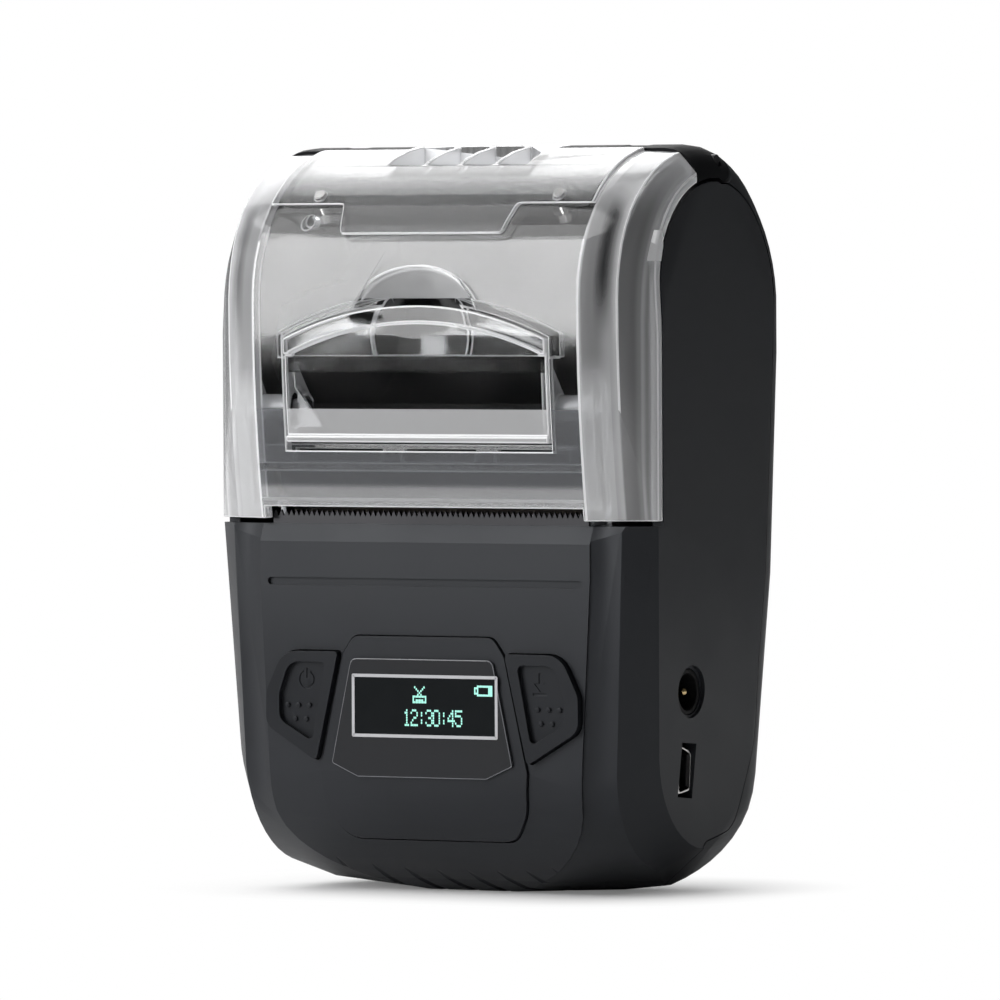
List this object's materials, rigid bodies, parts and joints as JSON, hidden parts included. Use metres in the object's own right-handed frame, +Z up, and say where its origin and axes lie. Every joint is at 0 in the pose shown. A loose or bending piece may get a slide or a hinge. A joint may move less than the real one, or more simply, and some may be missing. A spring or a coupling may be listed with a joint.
{
  "type": "portable receipt printer",
  "caption": "Pocket receipt printer: rounded black casing, clear hinged paper cover with a release flap, tear blade, small front display between keys, side charging jack and USB socket.",
  "frame": {"origin": "on the floor, under the centre of the bounding box", "axes": "+Z up, -Y out of the front with the keys, +X towards the side with the sockets"},
  "size_m": [0.0802, 0.0512, 0.1179],
  "materials": {
    "black_plastic": "matt, fine mould texture",
    "black_gloss": "satin rims",
    "clear_plastic": "clear, frosted on the crown",
    "black_inner": "matt",
    "steel": "bright",
    "zinc": "dull plated",
    "nickel": "bright",
    "contact_brass": "bright",
    "roller_rubber": "matt",
    "acetal": "natural",
    "lens": "gloss film",
    "pane": "gloss",
    "display_glass": "gloss",
    "circuit_board": "satin solder mask",
    "chip": "matt",
    "radio_board": "satin",
    "ceramic": "glazed",
    "heatsink": "extruded",
    "battery_wrap": "shrink wrap"
  },
  "bodies": {
    "casing": {"front_shell": "black_plastic", "back_shell": "black_plastic", "hinge_pin": "steel", "tear_blade": "steel", "print_frame": "zinc", "frame_screws": "zinc", "head_springs": "steel", "stepper_motor": "zinc", "idler_axle": "steel", "paper_cradle": "black_inner", "paper_sensor": "chip", "display_bezel": "black_plastic", "display_label": "lens", "display_window": "pane", "display_module": "display_glass", "key_board": "circuit_board", "key_switches": "nickel", "main_board": "circuit_board", "board_chips": "chip", "wireless_module": "radio_board", "buzzer": "chip", "dc_jack": "black_inner", "dc_pin": "contact_brass", "usb_socket": "nickel", "usb_tongue": "chip", "board_screws": "zinc", "case_screws": "zinc", "battery_pack": "battery_wrap", "battery_contacts": "contact_brass"},
    "cover": {"clear_cover": "clear_plastic", "hinge_bar": "black_plastic", "cover_screws": "nickel", "platen_bushes": "acetal"},
    "lever": {"release_lever": "clear_plastic"},
    "platen": {"platen_roller": "roller_rubber", "platen_shaft": "steel", "platen_gear": "acetal"},
    "idler": {"idler_gear": "acetal"},
    "rotor": {"motor_pinion": "contact_brass"},
    "print_head": {"thermal_head": "ceramic", "head_heatsink": "heatsink"},
    "power_key": {"power_button": "black_gloss"},
    "feed_key": {"feed_button": "black_gloss"},
    "door": {"battery_door": "black_plastic"}
  },
  "joints": [
    {"name": "cover_hinge", "type": "hinge", "parent": "casing", "child": "cover", "pos_m": [0, 0.0044, 0.1153], "axis": [-1, 0, 0], "range_deg": [0, 95]},
    {"name": "release_lever_pivot", "type": "hinge", "parent": "cover", "child": "lever", "pos_m": [0, -0.0198, 0.0767], "axis": [1, 0, 0], "range_deg": [0, 12], "stiffness_Nm_per_rad": 0.05},
    {"name": "platen_spin", "type": "hinge", "parent": "cover", "child": "platen", "pos_m": [0, -0.0136, 0.0662], "axis": [1, 0, 0], "continuous": true},
    {"name": "idler_spin", "type": "hinge", "parent": "casing", "child": "idler", "pos_m": [0, -0.00437, 0.06236], "axis": [1, 0, 0], "continuous": true},
    {"name": "motor_spin", "type": "hinge", "parent": "casing", "child": "rotor", "pos_m": [0, -0.00038, 0.05485], "axis": [1, 0, 0], "continuous": true},
    {"name": "head_rock", "type": "hinge", "parent": "casing", "child": "print_head", "pos_m": [0, -0.00185, 0.06373], "axis": [1, 0, 0], "range_deg": [0, 2], "stiffness_Nm_per_rad": 0.5, "springref_deg": -4.58, "deforming": ["head_springs"]},
    {"name": "power_button_press", "type": "slide", "parent": "casing", "child": "power_key", "axis": [0, 1, 0], "range_m": [0, 0.0006], "stiffness_N_per_m": 1500, "springref_m": -0.0003},
    {"name": "feed_button_press", "type": "slide", "parent": "casing", "child": "feed_key", "axis": [0, 1, 0], "range_m": [0, 0.0006], "stiffness_N_per_m": 1500, "springref_m": -0.0003},
    {"name": "battery_door_hinge", "type": "hinge", "parent": "casing", "child": "door", "pos_m": [0, 0.0188, 0.0125], "axis": [-1, 0, 0], "range_deg": [0, 60]}
  ],
  "couplings": [
    {"joint": "idler_spin", "follows": "platen_spin", "ratio": -0.66667},
    {"joint": "motor_spin", "follows": "platen_spin", "ratio": 1.6}
  ]
}
